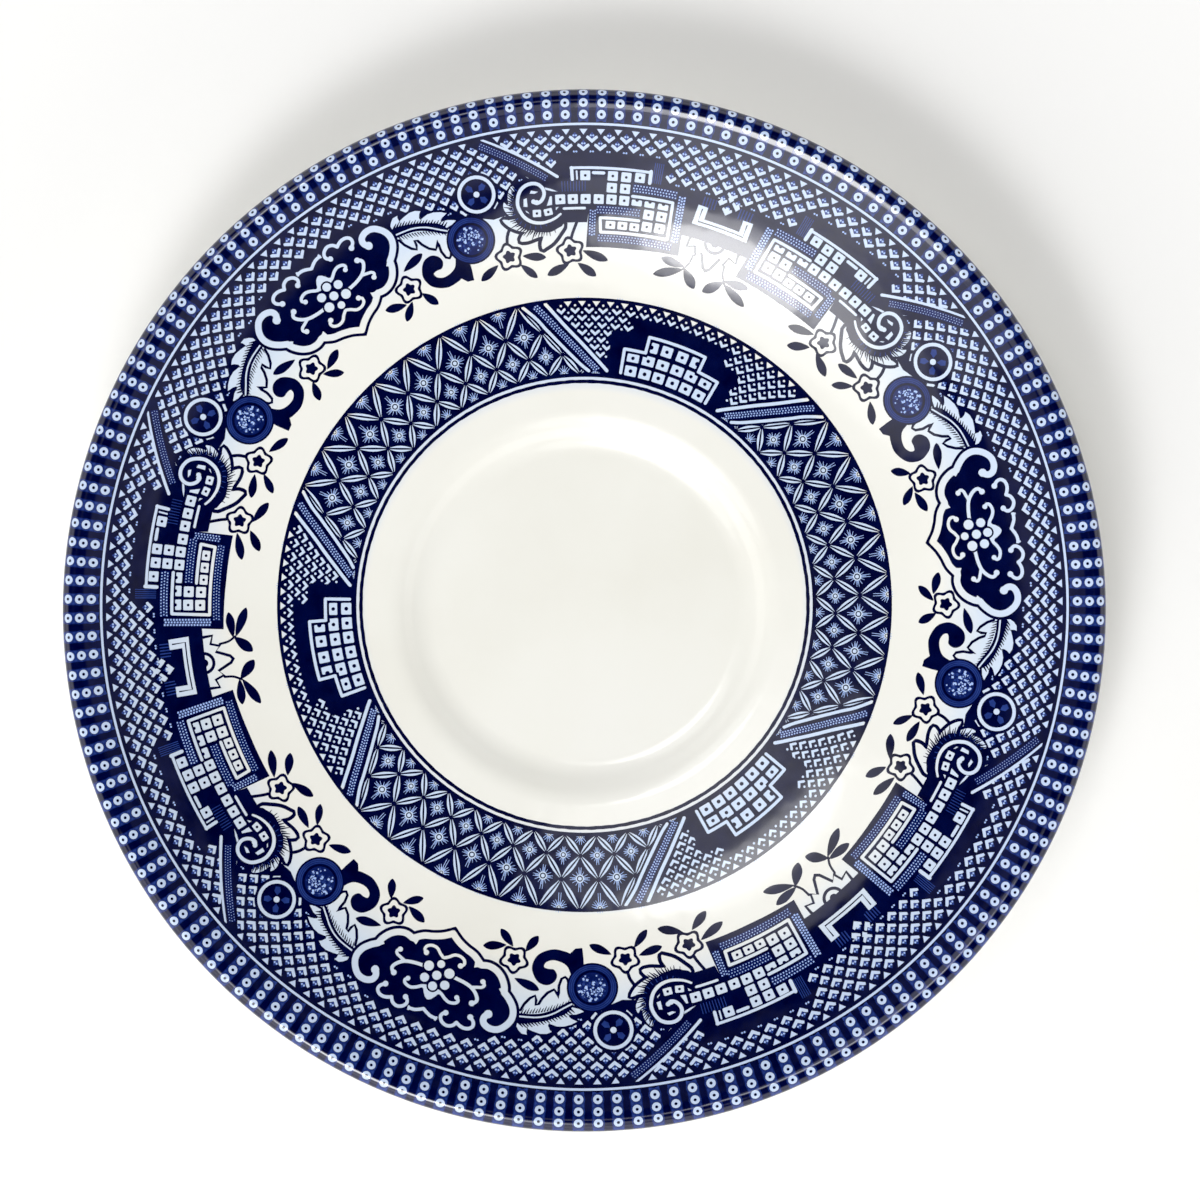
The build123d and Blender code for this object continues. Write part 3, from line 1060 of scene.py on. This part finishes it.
def turned_object(name, rows, material):
    """A solid turned about the axis from a closed loop of rows (radius, height, normal's radius,
    normal's height). Rows on the axis become single points."""
    places, normals, rings = [], [], []
    for r, z, nr, nz in rows:
        if r < 1e-6:
            rings.append([len(places)] * SEGMENTS)
            places.append((0.0, 0.0, z * MM))
            normals.append((0.0, 0.0, nz))
            continue
        rings.append(list(range(len(places), len(places) + SEGMENTS)))
        for i in range(SEGMENTS):
            turn = 2 * pi * i / SEGMENTS
            places.append((r * cos(turn) * MM, r * sin(turn) * MM, z * MM))
            normals.append((nr * cos(turn), nr * sin(turn), nz))
    faces = []
    for k, ring in enumerate(rings):
        below = rings[(k + 1) % len(rings)]
        for i in range(SEGMENTS):
            j = (i + 1) % SEGMENTS
            face = [ring[i], below[i], below[j], ring[j]]
            corners = [v for n, v in enumerate(face) if v != face[n - 1]]
            if len(corners) > 2:
                faces.append(corners)
    return mesh_object(name, np.array(places), faces, material, np.array(normals))


def glaze_objects(material):
    """The coat over the upper face, edge and flared underside, and the pool inside the foot."""
    outside = rounded_section(GLAZE_THICKNESS - INK_LIFT)
    inside = [(r, z, -nr, -nz) for r, z, nr, nz in rounded_section(CLAY_GAP)]
    foot = (UNDERSIDE[3][0] + UNDERSIDE[4][0]) / 2
    edge = max(range(len(outside)), key=lambda i: outside[i][0])

    def cut_at_foot(rows, outer):
        """The part of a section outside the foot ring, or inside it, down to the bare clay."""
        kept = []
        for i, row in enumerate(rows):
            over = i < edge
            beyond = row[0] > foot
            above = row[1] > BARE_FOOT_HEIGHT
            if over:
                wanted = outer
            else:
                wanted = above and beyond == outer
            if wanted:
                kept.append(row)
        return kept

    for name, outer in (("glaze_coat_skin", True), ("base_glaze_skin", False)):
        rows, back = cut_at_foot(outside, outer), cut_at_foot(inside, outer)
        # Both faces end on the wiped edge: the coat's last row, or the pool's first
        end, inwards = (-1, -FOOT_SLOPE) if outer else (0, FOOT_SLOPE)
        for face in (rows, back):
            radius, _, *normal = face[end]
            edge_row = (radius + inwards, BARE_FOOT_HEIGHT, *normal)
            face.insert(len(face) if outer else 0, edge_row)
        piece = turned_object(name, rows + back[::-1], material)
        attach(piece, "root")
        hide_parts("glaze_coat" if outer else "base_glaze")


def clay_object(material):
    """The clay body, which shows only on the edge of the foot ring. It has the glaze's own rings
    and spokes, so that no facet of it comes through the glaze."""
    piece = turned_object("biscuit_core", rounded_section(0.0), material)
    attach(piece, "root")
    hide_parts("biscuit_body")


# ---------------------------------------------------------------- Materials

GLAZE_INDEX = 1.60          # refractive index, as of a lead glaze


def new_material(name):
    material = bpy.data.materials.new(name)
    material.use_nodes = True
    return material, material.node_tree, material.node_tree.nodes["Principled BSDF"]


def connect(tree, node, inputs):
    """Sets each input to a value, or links it from another node's output."""
    for socket, value in inputs.items():
        if isinstance(value, bpy.types.NodeSocket):
            tree.links.new(value, node.inputs[socket])
        else:
            node.inputs[socket].default_value = value


def add_node(tree, kind, output, inputs, **settings):
    """Adds a node and returns the output named."""
    node = tree.nodes.new(f"ShaderNode{kind}")
    for name, value in settings.items():
        setattr(node, name, value)
    connect(tree, node, inputs)
    return node.outputs[output]


def noise(tree, scale, detail=3.0, roughness=0.55):
    """Noise in the saucer's own coordinates."""
    place = add_node(tree, "TexCoord", "Object", {})
    inputs = {"Vector": place, "Scale": scale, "Detail": detail, "Roughness": roughness}
    return add_node(tree, "TexNoise", "Fac", inputs)


def ramp(tree, source, stops):
    """A colour ramp over a value: stops are (position, (red, green, blue))."""
    node = tree.nodes.new("ShaderNodeValToRGB")
    elements = node.color_ramp.elements
    while len(elements) < len(stops):
        elements.new(0.5)
    for element, (position, colour) in zip(elements, stops):
        element.position = position
        element.color = (*colour, 1.0)
    connect(tree, node, {"Fac": source})
    return node.outputs["Color"]


def mapped(tree, source, low, high, out_low, out_high):
    inputs = {"From Min": low, "From Max": high, "To Min": out_low, "To Max": out_high}
    return add_node(tree, "MapRange", "Result", {"Value": source, **inputs})


def bump(tree, height, strength):
    inputs = {"Height": height, "Strength": strength, "Distance": 0.0002}
    return add_node(tree, "Bump", "Normal", inputs)


def gloss(tree, shader):
    """The glaze's own surface, the same over clay and ink: hard gloss with a slight ripple."""
    connect(tree, shader, {
        "Roughness": mapped(tree, noise(tree, 55.0), 0.3, 0.7, 0.06, 0.12),
        "Normal": bump(tree, noise(tree, 160.0, 2.0), 0.25),
        "IOR": GLAZE_INDEX,
    })


def glaze_material():
    """Clear glaze over cream clay, with a breath of blue where cobalt has bled from the print."""
    material, tree, shader = new_material("glaze_gloss")
    cream = ramp(tree, noise(tree, 24.0, 5.0), [
        (0.30, (0.82, 0.81, 0.745)), (0.52, (0.86, 0.855, 0.80)), (0.75, (0.875, 0.87, 0.83)),
    ])
    place = add_node(tree, "TexCoord", "Object", {})
    flat = add_node(tree, "VectorMath", "Vector", {0: place, 1: (1, 1, 0)}, operation="MULTIPLY")
    length = add_node(tree, "VectorMath", "Value", {0: flat}, operation="LENGTH")
    radius = mapped(tree, length, 0.0, SAUCER_RADIUS * MM, 0.0, 1.0)
    bare, pale_blue = (1.0, 1.0, 1.0), (0.71, 0.85, 1.13)
    tints = [
        (29.4, bare), (30.7, (0.84, 0.90, 1.04)), (31.6, pale_blue), (40.2, pale_blue),
        (41.4, bare), (48.0, bare), (54.0, (0.75, 0.86, 1.07)), (63.0, (0.64, 0.77, 1.08)),
    ]
    blush = ramp(tree, radius, [(r / SAUCER_RADIUS, tint) for r, tint in tints])
    # Only what faces up takes the blush: there is no print underneath
    normal = add_node(tree, "TexCoord", "Normal", {})
    upward = add_node(tree, "SeparateXYZ", "Z", {"Vector": normal})
    inputs = {"Factor": mapped(tree, upward, 0.1, 0.5, 0.0, 1.0), "A": cream, "B": blush}
    tinted = add_node(tree, "Mix", "Result", inputs, data_type="RGBA", blend_type="MULTIPLY")
    connect(tree, shader, {"Base Color": tinted})
    gloss(tree, shader)
    return material


def ink_material(ink, thin, full):
    """Cobalt under the glaze: the ink lies a little thicker here than there."""
    material, tree, shader = new_material(f"cobalt_{ink}")
    middle = tuple((a + b) / 2 for a, b in zip(thin, full))
    stops = [(0.30, full), (0.52, middle), (0.78, thin)]
    connect(tree, shader, {"Base Color": ramp(tree, noise(tree, 380.0, 4.0, 0.65), stops)})
    gloss(tree, shader)
    return material


def biscuit_material():
    """Bare fired clay, on the wiped edge of the foot ring."""
    material, tree, shader = new_material("bare_biscuit")
    stops = [(0.32, (0.48, 0.40, 0.30)), (0.55, (0.66, 0.59, 0.48)), (0.72, (0.76, 0.70, 0.60))]
    connect(tree, shader, {
        "Base Color": ramp(tree, noise(tree, 900.0, 6.0, 0.7), stops),
        "Roughness": mapped(tree, noise(tree, 700.0), 0.3, 0.7, 0.75, 0.95),
        "Normal": bump(tree, noise(tree, 1800.0, 5.0), 0.5),
    })
    return material


def floor_material():
    material, tree, shader = new_material("studio_floor")
    stops = [(0.3, (0.90, 0.90, 0.895)), (0.7, (0.93, 0.93, 0.925))]
    connect(tree, shader, {"Base Color": ramp(tree, noise(tree, 3.0), stops), "Roughness": 0.9})
    return material


# ---------------------------------------------------------------- The saucer

def make_saucer():
    glaze = glaze_material()
    inks = {
        "deep": ink_material("deep", (0.0020, 0.0045, 0.048), (0.0006, 0.0012, 0.022)),
        "blue": ink_material("blue", (0.0090, 0.0200, 0.130), (0.0025, 0.0070, 0.072)),
        "mid": ink_material("mid", (0.0300, 0.0640, 0.270), (0.0110, 0.0260, 0.155)),
        "pale": ink_material("pale", (0.470, 0.610, 0.940), (0.310, 0.450, 0.820)),
    }
    clay_object(biscuit_material())
    glaze_objects(glaze)
    # A transfer gives a little as it is laid, so each ring's radii have a stretch of their own
    for name, art, axes, stretch in (
        ("main_border", border_drawing(), BORDER_AXES, lambda r: r + 0.0147 * (69.7 - r)),
        ("bead_border", bead_drawing(), BORDER_AXES, lambda r: r),
        ("inner_band", band_drawing(), BAND_AXES, lambda r: r * 1.0085),
        ("cup_ring", ring_drawing(), BAND_AXES, lambda r: r * 1.0085),
    ):
        ink_objects(name, art, axes, stretch, inks, f"{name}_print")


# ---------------------------------------------------------------- Studio

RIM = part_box("glaze_coat")[1]
LOOK_AT = Vector((2.1 * MM, 1.6 * MM, RIM.z))
CAMERA_DISTANCE = 1.30
CAMERA_LEAN = 2.0           # degrees towards +Y from straight above
FRAME_WIDTH = 0.1608        # what the frame takes in, at the height of the rim
LIGHT_DISTANCE = 1.6
SENSOR = 36.0
FLOOR_HALF = 1.5
BLACK_LEVEL = 0.016         # what the view shows as black, so that the dark ink stays dark


def make_floor():
    mesh = bpy.data.meshes.new("floor")
    corners = [(x * FLOOR_HALF, y * FLOOR_HALF, 0) for x, y in ((-1, -1), (1, -1), (1, 1), (-1, 1))]
    mesh.from_pydata(corners, [], [(0, 1, 2, 3)])
    mesh.materials.append(floor_material())
    floor = add_object("floor", mesh)


def area_light(name, azimuth, lean, width, height, radiance):
    """A soft light that faces the saucer, seen from there at an azimuth and a lean from straight
    above, and as many degrees wide and high as given."""
    light = bpy.data.lights.new(name, "AREA")
    light.shape = "ELLIPSE"
    light.size = 2 * LIGHT_DISTANCE * tan(radians(width / 2))
    light.size_y = 2 * LIGHT_DISTANCE * tan(radians(height / 2))
    light.energy = radiance * pi * light.size * light.size_y * pi / 4
    lamp = add_object(name, light)
    out = sin(radians(lean)) * LIGHT_DISTANCE
    lamp.location = (
        out * cos(radians(azimuth)), out * sin(radians(azimuth)),
        cos(radians(lean)) * LIGHT_DISTANCE,
    )
    lamp.rotation_euler = (-lamp.location).to_track_quat("-Z", "Y").to_euler()


def make_lights():
    """A window on the near left that fades into a pale wall, a smaller light high on the far
    left, and a room that is dark overhead and white towards the level of the table. Each light
    is brightest in its middle, as a few discs one over another."""
    for light in (
        ("window_core", 248, 36.5, 15, 16, 9.4),
        ("window", 247, 37, 27, 23, 3.8),
        ("window_edge", 247, 38, 48, 38, 1.05),
        ("wall_near", 245, 60, 36, 24, 0.7),
        ("wall_far", 245, 60, 62, 34, 0.6),
        ("high_core", 129, 12.5, 8, 8, 4.4),
        ("high_light", 129, 12.5, 12, 12, 3.4),
        ("high_edge", 129, 11.5, 14, 20, 1.1),
        ("high_far", 135, 25, 20, 24, 1.1),
    ):
        area_light(*light)
    world = bpy.data.worlds.new("studio")
    world.use_nodes = True
    tree = world.node_tree
    direction = add_node(tree, "TexCoord", "Generated", {})
    height = add_node(tree, "SeparateXYZ", "Z", {"Vector": direction})
    room = ramp(tree, height, [
        (0.0, (1.0, 0.99, 0.97)), (0.42, (1.0, 0.99, 0.97)), (0.60, (0.18, 0.18, 0.18)),
    ])
    lit_side = (cos(radians(245)), sin(radians(245)), 0.0)
    inputs = {0: direction, 1: lit_side}
    towards = add_node(tree, "VectorMath", "Value", inputs, operation="DOT_PRODUCT")
    strength = mapped(tree, towards, -1.0, 1.0, 1.47, 1.53)
    connect(tree, tree.nodes["Background"], {"Color": room, "Strength": strength})
    bpy.context.scene.world = world


def make_camera():
    camera = bpy.data.cameras.new("camera")
    camera.sensor_width = SENSOR
    camera.lens = SENSOR * CAMERA_DISTANCE / FRAME_WIDTH
    camera.clip_end = 10.0
    lean = radians(CAMERA_LEAN)
    eye = add_object("camera", camera)
    eye.location = LOOK_AT + Vector((0.0, sin(lean), cos(lean))) * CAMERA_DISTANCE
    eye.rotation_euler = (-lean, 0.0, 0.0)
    bpy.context.scene.camera = eye


make_saucer()
make_floor()
make_lights()
make_camera()
view = bpy.context.scene.view_settings
view.view_transform = "Standard"
view.use_curve_mapping = True
view.curve_mapping.black_level = (BLACK_LEVEL,) * 3
view.curve_mapping.update()
